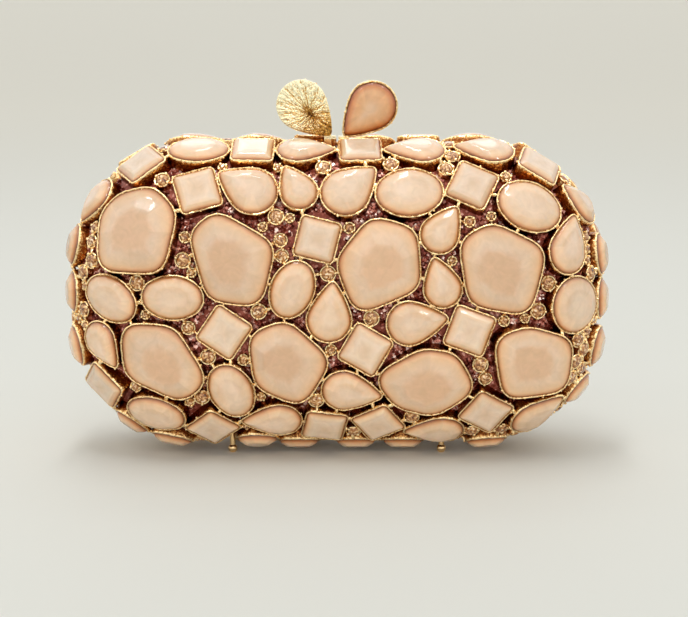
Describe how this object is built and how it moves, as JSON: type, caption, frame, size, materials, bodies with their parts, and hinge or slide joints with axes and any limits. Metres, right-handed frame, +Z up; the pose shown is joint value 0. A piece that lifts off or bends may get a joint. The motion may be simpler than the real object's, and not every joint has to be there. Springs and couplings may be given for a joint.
{
  "type": "minaudiere",
  "caption": "Hard-shell evening clutch: two hinged domed halves covered in bezel-set peach stones, with a kiss-lock clasp of two pear-shaped knobs on top.",
  "frame": {"origin": "on the floor below the middle of the closed clutch", "axes": "+X along the width, the front faces -Y, +Z up towards the clasp"},
  "size_m": [0.1766, 0.065, 0.1204],
  "materials": {
    "glitter_shell": "glitter coated",
    "gold_frame": "polished gold plate",
    "satin_lining": "satin",
    "gold_fittings": "gold plate",
    "spring_steel": "rolled",
    "cast_gold": "cast, gold plate",
    "gold_settings": "gold plate",
    "peach_resin": "polished milky resin",
    "champagne_glass": "cut and foiled"
  },
  "bodies": {
    "back_half": {"hinge_pin": "gold_fittings", "chain_lugs": "gold_fittings", "back_shell": "glitter_shell", "back_frame": "gold_frame", "back_lining": "satin_lining", "back_hinge_leaf": "gold_fittings", "back_feet": "gold_fittings", "back_clasp_bracket": "gold_fittings", "back_clasp_rivet": "gold_fittings", "back_clasp_spring": "spring_steel", "back_large_settings": "gold_settings", "back_large_stones": "peach_resin", "back_oval_settings": "gold_settings", "back_oval_stones": "peach_resin", "back_pear_settings": "gold_settings", "back_pear_stones": "peach_resin", "back_square_settings": "gold_settings", "back_square_stones": "peach_resin", "back_edge_settings": "gold_settings", "back_edge_stones": "peach_resin", "back_rhinestone_settings": "gold_settings", "back_rhinestone_stones": "champagne_glass"},
    "front_half": {"front_shell": "glitter_shell", "front_frame": "gold_frame", "front_lining": "satin_lining", "front_hinge_leaf": "gold_fittings", "front_feet": "gold_fittings", "front_clasp_bracket": "gold_fittings", "front_clasp_rivet": "gold_fittings", "front_clasp_spring": "spring_steel", "front_large_settings": "gold_settings", "front_large_stones": "peach_resin", "front_oval_settings": "gold_settings", "front_oval_stones": "peach_resin", "front_pear_settings": "gold_settings", "front_pear_stones": "peach_resin", "front_square_settings": "gold_settings", "front_square_stones": "peach_resin", "front_edge_settings": "gold_settings", "front_edge_stones": "peach_resin", "front_rhinestone_settings": "gold_settings", "front_rhinestone_stones": "champagne_glass"},
    "front_knob": {"front_clasp_knob": "cast_gold", "front_clasp_stone": "peach_resin"},
    "back_knob": {"back_clasp_knob": "cast_gold", "back_clasp_stone": "peach_resin"}
  },
  "joints": [
    {"name": "lid_hinge", "type": "hinge", "parent": "back_half", "child": "front_half", "pos_m": [0, 0, 0.00375], "axis": [1, 0, 0], "range_deg": [0, 70]},
    {"name": "front_knob_squeeze", "type": "hinge", "parent": "front_half", "child": "front_knob", "pos_m": [0.003, -0.00247, 0.10019], "axis": [0, -1, 0], "range_deg": [0, 8], "stiffness_Nm_per_rad": 0.06},
    {"name": "back_knob_squeeze", "type": "hinge", "parent": "back_half", "child": "back_knob", "pos_m": [-0.003, 0.00247, 0.10019], "axis": [0, 1, 0], "range_deg": [0, 8], "stiffness_Nm_per_rad": 0.06}
  ]
}
